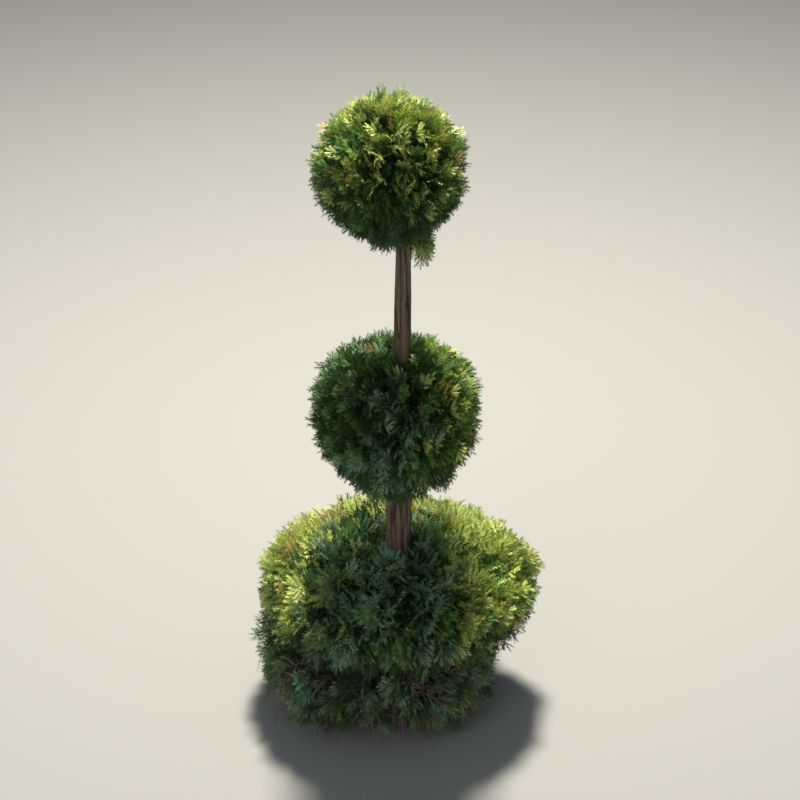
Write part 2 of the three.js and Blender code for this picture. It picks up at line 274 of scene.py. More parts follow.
def new_mesh(name, points, edges, faces):
    mesh = bpy.data.meshes.new(name)
    mesh.from_pydata(points, edges, faces)
    return mesh


def store(mesh, label, kind, values):
    """Keeps a number or a vector on each point of a mesh"""
    field = "vector" if kind == "FLOAT_VECTOR" else "value"
    dtype = np.int32 if kind == "INT" else np.float32
    mesh.attributes.new(label, kind, "POINT").data.foreach_set(field, np.asarray(values, dtype).ravel())


def grown(name, base, tree, inputs):
    """Runs a geometry tree on a base mesh and keeps what it makes as a plain mesh object"""
    host = in_scene(name + "_base", base)
    modifier = host.modifiers.new("grow", "NODES")
    modifier.node_group = tree
    for item in tree.interface.items_tree:
        if item.name in inputs:
            modifier[item.identifier] = inputs[item.name]
    result = host.evaluated_get(bpy.context.evaluated_depsgraph_get())
    mesh = bpy.data.meshes.new_from_object(result)
    bpy.data.objects.remove(host)
    bpy.data.meshes.remove(base)
    mesh.name = name
    return in_scene(name, mesh)


# %% [markdown]
# Low sprays lie along the ground. They could be turned up one by one, but easing every height near the
# ground does it for all of them at once. A finished piece then rides on its body and stands for its solid,
# which is hidden.

# %% Settling pieces
GROUND_EASE = 0.016
GROUND_GAP = 0.002


def rest_on_ground(mesh):
    """Lifts what would reach below the ground: heights near it are eased, so low sprays lie along it"""
    points = np.empty(len(mesh.vertices) * 3, np.float32)
    mesh.vertices.foreach_get("co", points)
    points = points.reshape(-1, 3)
    low = points[:, 2] < GROUND_EASE
    ease = GROUND_EASE - GROUND_GAP
    points[low, 2] = GROUND_GAP + ease * np.exp((points[low, 2] - GROUND_EASE) / ease)
    mesh.vertices.foreach_set("co", points.ravel())
    mesh.update()


def settle(piece, slot, *nodes):
    """Says where a finished piece belongs: it rides on the one body and stands for its nodes"""
    if slot != "bark":
        rest_on_ground(piece.data)
    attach(piece, "root")
    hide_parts(*nodes)
    faces = sum(len(polygon.vertices) - 2 for polygon in piece.data.polygons)
    print(f"{piece.name}: {faces} triangles")


# %% [markdown]
# ## Colours
# The leaves are one kind of green in several tints: a yellow-green that is partly new growth and partly
# painted sunlight, a middle green, a deep green that is painted shade inside and underneath, a bluish green
# that is painted shade where the plant shades itself with a few pale sprays as painted highlights where they
# catch the sky, bronze tips, faded straw-coloured sprays, and dry brown ones low down. A picture of leaves
# could carry them, but it blurs up close. So each tint is one plain colour, and the tints are dealt out by
# spray. A little noise in the object's own coordinates keeps each one from looking like paint, and tiny cells
# stand for the scales.

# %% Parts of a finish
def linear(red, green, blue):
    """A screen colour of 0 to 255 as the light values that Blender works in"""
    share = np.array([red, green, blue]) / 255
    return np.where(share <= 0.04045, share / 12.92, ((share + 0.055) / 1.055) ** 2.4)


def colour_socket(colour, strength=1.0):
    return (*np.clip(colour * strength, 0, 1).tolist(), 1.0)


def new_material(name):
    """A material, its board and the object's own coordinates"""
    material = bpy.data.materials.new(name)
    material.use_nodes = True
    material.node_tree.nodes.clear()
    board = Board(material.node_tree)
    return material, board, board.node("ShaderNodeTexCoord", out="Object")


def grain(board, place, scale, detail=2.0):
    sockets = {"Vector": place, "Scale": scale, "Detail": detail}
    return board.node("ShaderNodeTexNoise", inputs=sockets, out="Fac")


def mixed(board, share, first, second, blend="MIX"):
    return board.node(
        "ShaderNodeMix", {"data_type": "RGBA", "blend_type": blend},
        {"Factor_Float": share, "A_Color": first, "B_Color": second}, "Result_Color")


def raised(board, height, strength, distance):
    return board.node("ShaderNodeBump", inputs={"Height": height, "Strength": strength, "Distance": distance})


def end_material(board, sockets):
    shader = board.node("ShaderNodeBsdfPrincipled", inputs=sockets)
    board.node("ShaderNodeOutputMaterial", inputs={"Surface": shader})


print("grey of 128 is", linear(128, 128, 128).round(3))

# %% Leaf finishes
LEAF = Sizes(patches=40.0, flecks=170.0, contrast=2.6, dark=0.66, light=1.34, scales=620.0)


def leaf_finish(name, colour, roughness):
    material, board, place = new_material(name)
    patches, flecks = grain(board, place, LEAF.patches), grain(board, place, LEAF.flecks)
    share = (patches * 0.4 + flecks * 0.6) * LEAF.contrast + (0.5 - LEAF.contrast / 2)
    base = mixed(board, share, colour_socket(colour, LEAF.dark), colour_socket(colour, LEAF.light))
    cells = {"Vector": place, "Scale": LEAF.scales}
    scales = board.node("ShaderNodeTexVoronoi", inputs=cells, out="Distance")
    end_material(board, {
        "Base Color": base, "Roughness": flecks * 0.2 + (roughness - 0.1),
        "Normal": raised(board, scales, 0.3, 0.0006), "Specular IOR Level": 0.35})
    return material


# sunlit is new growth and painted sunlight, deep and blue are painted shade, pale is a painted highlight
TINTS = {
    "sunlit": linear(192, 204, 112),
    "green": linear(112, 150, 72),
    "deep": linear(58, 92, 48),
    "blue": linear(126, 164, 124),
    "pale": linear(158, 192, 142),
    "bronze": linear(180, 150, 88),
    "straw": linear(208, 192, 132),
    "dry": linear(126, 114, 96),
}
LEAF_FINISH = {tint: leaf_finish("leaf_" + tint, colour, 0.55) for tint, colour in TINTS.items()}
# Root parts of fresh sprays: older growth, darkened further as painted shade in the gaps between sprays
LEAF_FINISH["inner"] = leaf_finish("leaf_inner", linear(62, 86, 48), 0.6)
print("leaf finishes:", ", ".join(LEAF_FINISH))

# %% [markdown]
# The bark of a young arborvitae is grey-brown with a reddish ground, and it splits into soft upright
# strips. Noise that is drawn out along the height gives the strips. The mesh itself carries their relief as
# an attribute, which darkens the furrows, so colour and shape agree. Twigs are plain grey-brown.

# %% Bark and twig finishes
FURROW, OLD_BARK, PALE_BARK = linear(72, 50, 40), linear(122, 102, 84), linear(160, 144, 124)
FIBRE_DARK, FIBRE_LIGHT = (0.45, 0.40, 0.38, 1.0), (1.35, 1.3, 1.25, 1.0)


def bark_finish():
    material, board, place = new_material("bark")
    drawn = board.node("ShaderNodeMapping", inputs={"Vector": place, "Scale": (1.0, 1.0, 0.09)})
    strands = grain(board, drawn, 330.0, 4.0)
    weather = grain(board, place, 26.0, 3.0)
    relief = board.node("ShaderNodeAttribute", {"attribute_name": "relief"}, out="Fac")
    ground = mixed(board, weather, colour_socket(OLD_BARK), colour_socket(PALE_BARK))
    fibres = mixed(board, 0.75, ground, mixed(board, strands, FIBRE_DARK, FIBRE_LIGHT), "MULTIPLY")
    end_material(board, {
        "Base Color": mixed(board, relief, colour_socket(FURROW), fibres), "Roughness": strands * 0.15 + 0.8,
        "Normal": raised(board, strands, 0.6, 0.0012), "Specular IOR Level": 0.25})
    return material


def twig_finish(name, colour):
    material, board, place = new_material(name)
    patches = grain(board, place, 90.0, 3.0)
    end_material(board, {
        "Base Color": mixed(board, patches, colour_socket(colour, 0.6), colour_socket(colour, 1.35)),
        "Roughness": patches * 0.2 + 0.65, "Normal": raised(board, patches, 0.4, 0.0008)})
    return material


BARK = bark_finish()
TWIG = twig_finish("twig", linear(120, 102, 84))
print("bark and twig finishes ready")

# %% [markdown]
# ## The trunk and the low boughs
# The trunk could be a smooth cone with a bump map, but its outline shows against the light, so the strips
# are real relief. Noise that is stretched along the height moves each point of a fine tube in or out, and
# the same number is kept as an attribute for the colour. Small swellings mark where side branches were cut
# off flush.


# %% A limb with bark relief
BARK_GRAIN = Sizes(strip=(150, 9), fine=(420, 34), furrow=(95, 6))
BARK_SHARES = Sizes(strip=0.45, fine=0.28, furrow=0.55)
FURROW_AT = (7, 3)
FURROW_WIDTH = 0.16


def bark_noise(x, y, height, stretch, scale, shift=(0, 0)):
    """Noise that is drawn out along the height"""
    across, upward = stretch
    return noise.noise(Vector((x * across + shift[0], y * across + shift[1], height * upward)) * scale)


def bark_height(x, y, height, scale):
    """How far the bark stands at a point: soft upright strips with deeper furrows between"""
    strip = bark_noise(x, y, height, BARK_GRAIN.strip, scale)
    fine = bark_noise(x, y, height, BARK_GRAIN.fine, scale)
    furrow = FURROW_WIDTH - abs(bark_noise(x, y, height, BARK_GRAIN.furrow, scale, FURROW_AT))
    return (0.5 + BARK_SHARES.strip * strip + BARK_SHARES.fine * fine
            - BARK_SHARES.furrow * max(0.0, furrow) / FURROW_WIDTH)


def bark_limb(name, rings, depth, scale=1.0):
    """A closed tube through rings of points, pushed out and in by the bark's relief"""
    count, sides = len(rings), len(rings[0])
    points = np.array(rings)
    middles = points.mean(1, keepdims=True)
    outward = unit(points - middles)
    height = np.array([[bark_height(*p, scale) for p in ring] for ring in points])
    points = points + outward * ((height - 0.5) * depth)[..., None]
    faces = [
        (r * sides + s, r * sides + (s + 1) % sides, (r + 1) * sides + (s + 1) % sides, (r + 1) * sides + s)
        for r in range(count - 1) for s in range(sides)]
    ends = [points[0].mean(0), points[-1].mean(0)]
    foot, head = count * sides, count * sides + 1
    last = (count - 1) * sides
    for s in range(sides):
        faces.append(((s + 1) % sides, s, foot))
        faces.append((last + s, last + (s + 1) % sides, head))
    mesh = new_mesh(name, [tuple(p) for p in [*points.reshape(-1, 3), *ends]], [], faces)
    shade = np.concatenate([np.clip(height.reshape(-1) * 1.5, 0, 1), [0.5, 0.5]])
    store(mesh, "relief", "FLOAT", shade)
    mesh.shade_smooth()
    mesh.materials.append(BARK)
    return in_scene(name, mesh)


# %% [markdown]
# The trunk's own rings are a short step apart, so the knots and strips have enough points to stand on. Its
# radius comes from the stations, softened so that no station shows as an edge.

# %% The trunk
TRUNK = Sizes(sides=84, step=0.0032, relief=0.0024, soft=8)
KNOTS = Sizes(count=16, lowest=0.33, highest=1.0, reach=0.0026, width=0.010)


def trunk_rings(random):
    heights = np.linspace(0, TRUNK_TIP, int(TRUNK_TIP / TRUNK.step))
    angles = np.arange(TRUNK.sides) * 2 * math.pi / TRUNK.sides
    knot_heights = random.uniform(KNOTS.lowest, KNOTS.highest, KNOTS.count)
    knot_angles = np.arange(KNOTS.count) * GOLDEN_ANGLE
    window = np.ones(2 * TRUNK.soft + 1) / (2 * TRUNK.soft + 1)
    soft = np.convolve(np.pad(trunk_radius(heights), TRUNK.soft, mode="edge"), window, mode="valid")
    rings = []
    for height, radius in zip(heights, soft):
        fade = math.exp(-height / FLARE.height)
        lobe = FLARE.depth * np.cos(FLARE.lobes * angles + FLARE.turned) * fade
        around = np.abs((angles[:, None] - knot_angles[None] + math.pi) % (2 * math.pi) - math.pi) * radius
        near = np.hypot(around, height - knot_heights[None]) / KNOTS.width
        knots = KNOTS.reach * np.exp(-near ** 2).sum(1)
        reach = radius * (1 + lobe) + knots
        ring = np.stack([np.cos(angles) * reach, np.sin(angles) * reach, np.zeros_like(angles)], 1)
        rings.append(ring + trunk_middle(height))
    return rings


trunk = bark_limb("trunk_bark", trunk_rings(np.random.default_rng(11)), TRUNK.relief)
settle(trunk, "bark", "trunk")

# %% [markdown]
# Six low boughs leave the trunk just above the ground. Each is short and stout, and it ends where its mass
# of foliage begins. A bevelled curve would be quicker, but it has no bark. The rings of such a limb stand
# square to its path, so the path is given as points.

# %% The low boughs
BOUGH = Sizes(
    height=0.048, stagger=0.006, levels=3, length=0.076, rise=0.009, root=0.0075, tip=0.0042, inside=0.2,
    rings=44, sides=22, relief=0.0011, grain=1.7)
SKIRT_COUNT = 6


def level_point(angle, distance, height):
    return np.array([distance * math.cos(angle), distance * math.sin(angle), height])


def limb_rings(path, radii, sides):
    """Rings of points square to a path"""
    along = unit(np.gradient(path, axis=0))
    across = unit(np.cross(along, UP))
    over = np.cross(across, along)
    angles = np.arange(sides) * 2 * math.pi / sides
    return [
        point + radius * (np.cos(angles)[:, None] * a - np.sin(angles)[:, None] * o)
        for point, radius, a, o in zip(path, radii, across, over)]


def bough_angle(k):
    return 2 * math.pi * (k + 0.5) / SKIRT_COUNT


def bough_point(k, share):
    base = BOUGH.height + BOUGH.stagger * (k % BOUGH.levels)
    return level_point(bough_angle(k), BOUGH.length * share, base + BOUGH.rise * share ** 2)


for k in range(SKIRT_COUNT):
    shares = np.linspace(BOUGH.inside, 1.0, BOUGH.rings)
    path = np.array([bough_point(k, share) for share in shares])
    radii = BOUGH.root + (BOUGH.tip - BOUGH.root) * shares
    name = f"low_bough_{k + 1}"
    rings = limb_rings(path, radii, BOUGH.sides)
    settle(bark_limb(name + "_bark", rings, BOUGH.relief, BOUGH.grain), "bark", name)

# %% [markdown]
# ## One spray
# A spray is a flat fan: a main axis with side branchlets that alternate along it, each fringed with short
# scale-covered branchlets. A leaf card with a picture would be lighter, but it has no outline of its own.
# Here every short branchlet is one triangle, so a whole spray costs about a hundred. The part near the root
# and the part near the tips are kept as two meshes, because new growth is lighter than old, and the fresh
# root parts are darker still as painted shade in the gaps. A dry spray has lost some branchlets and the rest
# are shrivelled, so the dry ones have shapes of their own.

# %% Sizes of a spray
SIDE_BRANCHLETS = 10
TIP_SHARE = 0.52
VARIANTS = 10
LEAFY = dict(fresh=1.0, dry=0.40)
BARE_LOSS = 0.6
TOOTH = Sizes(width=0.95, narrowing=0.30, foot=0.72, ahead={1: 1.62, -1: 1.45}, fold=0.22)
RIB = Sizes(bend=0.22, width=0.035, end_width=0.26, end_length=0.75, reach=0.7)
SIDE = Sizes(
    first=0.14, along=0.66, heading=0.92, closing=0.36, turned=(0.85, 1.15), length=(0.30, 0.62, 0.86),
    longer=(0.82, 1.14), roll=0.5, lift=0.3, long=0.3)
END = Sizes(start=0.78, lean=0.12, length=0.2, teeth=3)
AXIS = Sizes(foot=0.016, head=0.009, length=0.8, reach=0.2)
CURL = (0.05, 0.24)
SWING = 0.08
print(SIDE_BRANCHLETS, "side branchlets in each of", VARIANTS, "shapes")


# %% One branchlet
def branchlet(start, heading, length, teeth, roll, lift, leafy):
    """One branchlet: pairs of forward-pointing teeth along a midrib that bends towards the spray's axis"""
    step = length / teeth
    spots, corners, shares = [], [], []

    def triangle(share, three, turned_over=False):
        first = len(spots)
        spots.extend(three)
        corners.append((first + 1, first, first + 2) if turned_over else (first, first + 1, first + 2))
        shares.append(share)

    rib = [np.array(start, float)]
    for i in range(teeth):
        turned = heading * (1 - RIB.bend * i / teeth)
        rib.append(rib[-1] + step * np.array([math.sin(turned), math.cos(turned)]))
    rib = np.array(rib)
    for i in range(teeth):
        ahead = (rib[i + 1] - rib[i]) / step
        side = np.array([ahead[1], -ahead[0]])
        narrow = step * (TOOTH.width - TOOTH.narrowing * i / teeth) * leafy
        for hand in (1, -1):
            tooth = rib[i] + ahead * step * TOOTH.ahead[hand] + side * narrow * hand
            foot = rib[i] + ahead * step * TOOTH.foot
            triangle(i, [(rib[i], 0.0), (foot, 0.0), (tooth, hand * narrow)], hand > 0)
    thin = np.array([rib[-1][1] - rib[0][1], rib[0][0] - rib[-1][0]]) * RIB.width
    triangle(teeth // 2, [(rib[0] + thin, 0.0), (rib[0] - thin, 0.0), (rib[-1], 0.0)])
    ahead = (rib[-1] - rib[-2]) / step
    side = np.array([ahead[1], -ahead[0]]) * step * RIB.end_width
    end = rib[-1] + ahead * step * RIB.end_length
    triangle(teeth, [(rib[-2] + side, 0.0), (rib[-2] - side, 0.0), (end, 0.0)])
    solid = []
    for flat, off in spots:
        lifted = math.tan(lift) * np.linalg.norm(flat - rib[0])
        solid.append((flat[0], math.tan(roll) * off - TOOTH.fold * abs(off) + lifted, flat[1]))
    reach = [start[1] + step * (share + RIB.reach) for share in shares]
    return solid, corners, reach


# %% A whole spray
def spray_shape(random, leafy):
    """The corners and triangles of one spray of unit length along Z, and how far out each triangle lies"""
    points, triangles, reach = [], [], []

    def keep(spots, corners, outs):
        first = len(points)
        points.extend(spots)
        triangles.extend(tuple(first + corner for corner in t) for t in corners)
        reach.extend(outs)

    near, swell, fall = SIDE.length
    for k in range(SIDE_BRANCHLETS):
        share = k / (SIDE_BRANCHLETS - 1)
        start = SIDE.first + SIDE.along * share
        hand = 1 if k % 2 else -1
        heading = hand * (SIDE.heading - SIDE.closing * share) * random.uniform(*SIDE.turned)
        length = (near + swell * share - fall * share ** 2) * random.uniform(*SIDE.longer)
        teeth = 4 if length > SIDE.long else 3
        roll = random.uniform(-SIDE.roll, SIDE.roll)
        lift = random.uniform(-SIDE.lift, SIDE.lift)
        if random.random() < BARE_LOSS * (1 - leafy):
            continue
        keep(*branchlet((0.0, start), heading, length, teeth, roll, lift, leafy))
    lean = random.uniform(-END.lean, END.lean)
    keep(*branchlet((0.0, END.start), lean, END.length, END.teeth, 0.0, 0.0, leafy))
    foot, head, length = AXIS.foot, AXIS.head, AXIS.length
    keep([(-foot, 0.0, 0.0), (foot, 0.0, 0.0), (head, 0.0, length), (-head, 0.0, length)],
         [(0, 1, 2), (0, 2, 3)], [AXIS.reach] * 2)
    points = np.array(points)
    points[:, 1] -= random.uniform(*CURL) * points[:, 2] ** 2
    points[:, 0] += random.uniform(-SWING, SWING) * points[:, 2] ** 2
    return points, np.array(triangles), np.array(reach)


# %% The spray shapes
def mesh_from(name, points, triangles):
    used, renumbered = np.unique(triangles, return_inverse=True)
    return new_mesh(name, points[used].tolist(), [], renumbered.reshape(-1, 3).tolist())


def spray_collections():
    """Collections of sprays, fresh and dry; the root parts and the tip parts come in the same order"""
    parts = {}
    for state, leafy in LEAFY.items():
        random = np.random.default_rng(5)
        for part in ("roots", "tips"):
            parts[state, part] = bpy.data.collections.new(f"spray_{state}_{part}")
        for k in range(VARIANTS):
            points, triangles, reach = spray_shape(random, leafy)
            outer = reach > TIP_SHARE
            for part, chosen in (("roots", ~outer), ("tips", outer)):
                mesh = mesh_from(f"spray_{state}_{part}_{k:02d}", points, triangles[chosen])
                parts[state, part].objects.link(bpy.data.objects.new(mesh.name, mesh))
            print(f"{state} spray {k}: {len(triangles)} triangles, {int(outer.sum())} of them in the tips")
    return parts


SPRAYS = spray_collections()

# %% [markdown]
# The sprays are set out by a geometry tree: it puts one spray from a collection on each point of a mesh,
# turned and sized by what is stored on that point. Real meshes come out at the end, as the copies are
# needed as solid shapes. A second tree sweeps a round section along strings of points, for the twigs. A
# particle system could scatter the sprays as well, but each one has to hang on its own twig.


# %% The two geometry trees
def stored(board, label, kind):
    return board.node("GeometryNodeInputNamedAttribute", {"data_type": kind}, {"Name": label})


def spray_tree():
    tree, board, given = new_tree("sprays_on_points", {
        "Points": "NodeSocketGeometry", "Sprays": "NodeSocketCollection", "Finish": "NodeSocketMaterial"})
    shapes = board.node("GeometryNodeCollectionInfo", inputs={
        "Collection": given["Sprays"], "Separate Children": True, "Reset Children": True})
    turn = board.node("FunctionNodeEulerToRotation", inputs={"Euler": stored(board, "turn", "FLOAT_VECTOR")})
    placed = board.node("GeometryNodeInstanceOnPoints", inputs={
        "Points": given["Points"], "Instance": shapes, "Pick Instance": True,
        "Instance Index": stored(board, "kind", "INT"), "Rotation": turn,
        "Scale": stored(board, "size", "FLOAT")})
    close_tree(board, placed, given["Finish"])
    return tree


def twig_tree():
    tree, board, given = new_tree("twigs_along_edges", {
        "Edges": "NodeSocketGeometry", "Sides": "NodeSocketInt", "Finish": "NodeSocketMaterial"})
    lines = board.node("GeometryNodeMeshToCurve", inputs={"Mesh": given["Edges"]})
    section = board.node("GeometryNodeCurvePrimitiveCircle", inputs={
        "Resolution": given["Sides"], "Radius": 1.0})
    swept = board.node("GeometryNodeCurveToMesh", inputs={
        "Curve": lines, "Profile Curve": section, "Scale": stored(board, "thickness", "FLOAT"),
        "Fill Caps": True})
    close_tree(board, swept, given["Finish"])
    return tree


SPRAY_TREE = spray_tree()
TWIG_TREE = twig_tree()
print("trees:", SPRAY_TREE.name, "and", TWIG_TREE.name)


# %% What the trees read
def point_mesh(name, roots, turns, sizes, kinds):
    """Points with what the spray tree reads on them"""
    mesh = new_mesh(name, roots.tolist(), [], [])
    store(mesh, "turn", "FLOAT_VECTOR", turns)
    store(mesh, "size", "FLOAT", sizes)
    store(mesh, "kind", "INT", kinds)
    return mesh


def line_mesh(name, lines):
    """Strings of points as edges; each line is a list of (point, thickness)"""
    points, thickness, edges = [], [], []
    for line in lines:
        first = len(points)
        points += [tuple(float(c) for c in point) for point, _ in line]
        thickness += [float(thick) for _, thick in line]
        edges += [(first + i, first + i + 1) for i in range(len(line) - 1)]
    mesh = new_mesh(name, points, edges, [])
    store(mesh, "thickness", "FLOAT", thickness)
    return mesh


# %% [markdown]
# ## How a clipped ball grows
# Boughs leave the trunk inside the ball, twigs leave the boughs, and each twig ends in a bunch of sprays.
# Grown outwards they would have to be clipped later. But the shears decide where the tips are, so those are
# set out first, evenly over the outline, and each spray is grown back from its tip to the nearest twig.
# Some sprays stay inside, in the shade, which fills the depth behind the surface. A spray that would touch
# the trunk is left out. A ball's "rise" and "droop" turn its sprays up or down, "loose" is how unevenly the
# shears left them, "depth" is where the twigs end, and "fringe" is how far the low sprays hang.

# %% Sizes for growing
SHADED = Sizes(share=0.36, depth=(0.008, 0.046))
INNER = Sizes(share=0.12, depth=(0.05, 0.11))
WILD = Sizes(share=0.04, reach=0.007, loose=0.3, spread=(0.2, 1.0))
UNDER_OUTLINE = 0.002
TWIG_DEPTH = (0.85, 1.1)
DROOP_BELOW = -0.15
OUTWARD = 0.35
WANDER = 0.34
BUNCH_WANDER = 0.30
UNRULY = 0.6
SPRAY_SIZE = (0.78, 1.2)
TWIST = 1.15
UPRIGHT = 0.2
TRUNK_ROOM = 0.002
FRINGE = Sizes(below=0.1, share=0.4)
print("share of the sprays in the shade", SHADED.share, "and deep inside", INNER.share)


# %% Finding the nearest, and turning a spray
def nearest(targets, points):
    """For each point, the number of the nearest target"""
    tree = kdtree.KDTree(len(targets))
    for i, target in enumerate(targets):
        tree.insert(target, i)
    tree.balance()
    return np.array([tree.find(point)[1] for point in points])


def facing(along, twist):
    """Euler turns that point a spray's Z along its axis, its flat side turned by a twist from upright"""
    side = np.cross(along, UP)
    flat = np.linalg.norm(side, axis=1) < UPRIGHT
    side[flat] = np.cross(np.array([1.0, 0.0, 0.0]), along[flat])
    side = unit(side)
    over = np.cross(side, along)
    over[over[:, 2] < 0] *= -1
    normal = unit(side * np.cos(twist)[:, None] + over * np.sin(twist)[:, None])
    normal[normal[:, 2] < 0] *= -1
    across = np.cross(normal, along)
    turns = [Matrix(np.stack([a, n, z], 1)).to_euler() for a, n, z in zip(across, normal, along)]
    return np.array([tuple(t) for t in turns])


# %% Sprays of a ball
def ball_sprays(ball, random):
    """What one ball's sprays need: roots, axes, sizes, tips, depths under the outline, twig ends"""
    tips, outward = outline_points(ball, ball.sprays, random)
    centres, centre_out = outline_points(ball, ball.twigs, random)
    ends = centres - centre_out * ball.depth * random.uniform(*TWIG_DEPTH, (len(centres), 1))
    bunch = nearest(centres, tips)
    count = len(tips)
    depth = random.uniform(-ball.loose, ball.loose, count) * 0.5 + UNDER_OUTLINE
    shaded = random.random(count) < SHADED.share
    depth[shaded] = random.uniform(*SHADED.depth, shaded.sum())
    inner = random.random(count) < INNER.share
    depth[inner] = random.uniform(*INNER.depth, inner.sum()) * ball.radius / BALLS["bottom_ball"].radius
    wild = random.random(count) < WILD.share
    depth[wild] = -random.uniform(*WILD.spread, wild.sum()) * (WILD.reach + ball.loose * WILD.loose)
    depth += random.uniform(0, ball.loose, len(centres))[bunch]
    tips = tips - outward * depth[:, None]
    level = outward[:, 2]
    fringe = (level < FRINGE.below) & (random.random(count) < FRINGE.share)
    tips[fringe, 2] -= random.uniform(0, ball.fringe, fringe.sum())
    rise = np.where(level > DROOP_BELOW, ball.rise, -ball.droop) * (1 - np.abs(level))
    lean = random.normal(0, 1, (len(centres), 3))[bunch] * BUNCH_WANDER
    along = unit(
        unit(tips - ends[bunch]) + OUTWARD * outward + rise[:, None] * UP + lean * UNRULY
        + random.normal(0, 1, (count, 3)) * WANDER * UNRULY)
    size = ball.length * random.uniform(*SPRAY_SIZE, count)
    roots = tips - along * size[:, None]
    kept = np.ones(count, bool)
    for share in (0.0, 0.5, 1.0):
        kept &= clear_of_trunk(roots + (tips - roots) * share, TRUNK_ROOM)
    return dict(
        roots=roots[kept], along=along[kept], size=size[kept], tips=tips[kept], outward=outward[kept],
        depth=depth[kept], bunch=bunch[kept], ends=ends, twist=random.uniform(-TWIST, TWIST, count)[kept],
        kind=random.integers(0, VARIANTS, count)[kept])


# %% [markdown]
# The tints are dealt out by where a spray ends, and much of that is painted light and shade. Tips that look
# up or sit on the flanks are yellow-green as painted sunlight, some of them bronzed by the cold, and on the
# top ball a few straw tips on top are partly faded growth and partly painted highlights. Tips that look down,
# or lie under the outline, are deep green as painted shade. Where a ball is shaded by the one above it, its
# front is bluish as a painted shadow, with a few pale sprays as painted highlights. The lowest ball also has
# a painted shadow close behind the trunk, dry sprays at its foot and one faded patch on its left. One noise
# texture could mix all this, but it would not follow the plant, so each spray draws its tint from weights.


# %% Places on a ball
STRAW_PATCH = np.array([-0.135, 0.140, 0.352])
STRAW_SPREAD = 0.06
INSIDE = 0.012


def over(value, start, width):
    """0 up to a start, and 1 from a width further on"""
    return np.clip((value - start) / width, 0, 1)


def under(value, start, width):
    """0 down to a start, and 1 from a width below it"""
    return np.clip((start - value) / width, 0, 1)


def near(value, middle, width):
    """1 at the middle, and less the further away"""
    return np.exp(-((value - middle) / width) ** 2)


def scale(weights, **factors):
    for tint, factor in factors.items():
        weights[tint] *= factor


def add(weights, **amounts):
    for tint, amount in amounts.items():
        weights[tint] += amount


# %% Tints by place
def top_tints(weights, x, y, z, up):
    # Painted shade: the lower half is deep green; straw tips on top are partly painted highlights
    low = under(z, BALLS["top_ball"].middle + 0.03, 0.12)
    scale(weights, green=0.7 * (1 - 0.7 * low), bronze=0.4, sunlit=1 - 0.85 * low)
    add(weights, deep=1.4 * low, straw=np.clip(0.06 * up, 0, 1))


def middle_tints(weights, x, y, z, up):
    # Painted sunlight on the right shoulder, painted shade as deep green on the left and low down
    right = over(x, 0.06, 0.07)
    low = under(z, BALLS["middle_ball"].middle - 0.08, 0.06)
    # The top ball's shadow on the front middle, painted as bluish green with pale painted highlights
    blue = 1.3 * (1 - right) * near(x, 0.01, 0.07) * np.clip(1.5 - 1.4 * up, 0, 1)
    scale(weights, green=(0.6 + 0.4 * right) * (1 - 0.7 * low), bronze=0.1, sunlit=0.10 + 1.3 * right)
    add(weights, deep=0.8 * (1 - right) + 1.6 * low, blue=blue * (1 - 0.85 * low), pale=0.12 * blue,
        dry=0.25 * low)


def bottom_tints(weights, x, y, z, up):
    # Painted sunlight on the flanks and the back, outside the middle ball's shadow, strongest on the left
    # lobe
    lit_flank = np.clip(under(x, -0.11, 0.07) + over(x, 0.09, 0.07) + over(y, 0.03, 0.12), 0, 1)
    front = 1 - lit_flank
    # Painted shade as deep green low down; the dry sprays at the foot are the plant's own
    low = under(z, np.where(x > 0.08, 0.21, 0.265), 0.07)
    left = under(x, -0.10, 0.05)
    # A painted shadow close behind the trunk
    shadow_by_trunk = near(x, -0.03, 0.07) * near(y, 0.08, 0.08)
    straw = ((np.stack([x, y, z], 1) - STRAW_PATCH) ** 2).sum(1) / STRAW_SPREAD ** 2
    # The middle ball's shadow over the front, painted as bluish green with pale painted highlights
    blue = 0.02 + 1.5 * front ** 2 * (1 - 0.6 * low)
    weights["sunlit"] = 0.04 + (1.7 + 2.6 * left) * lit_flank * np.clip(0.60 + up, 0.0, 1.2) * (1 - 0.97 * low)
    add(weights, deep=0.5 * low, blue=blue)
    scale(
        weights, green=(1 - 0.5 * front) * (1 - 0.5 * low) * (1 - 0.6 * left),
        bronze=(1 - 0.9 * front) * (1 - low), deep=1 - 0.7 * left * (1 - low), sunlit=1 - 0.85 * shadow_by_trunk,
        blue=1 - 0.75 * shadow_by_trunk)
    add(weights, deep=1.3 * shadow_by_trunk, pale=0.12 * blue, straw=4.0 * np.exp(-straw),
        dry=0.02 + 1.6 * under(z, 0.245, 0.07) * (1 - 0.6 * lit_flank))


TINTS_BY_BALL = {"top_ball": top_tints, "middle_ball": middle_tints, "bottom_ball": bottom_tints}


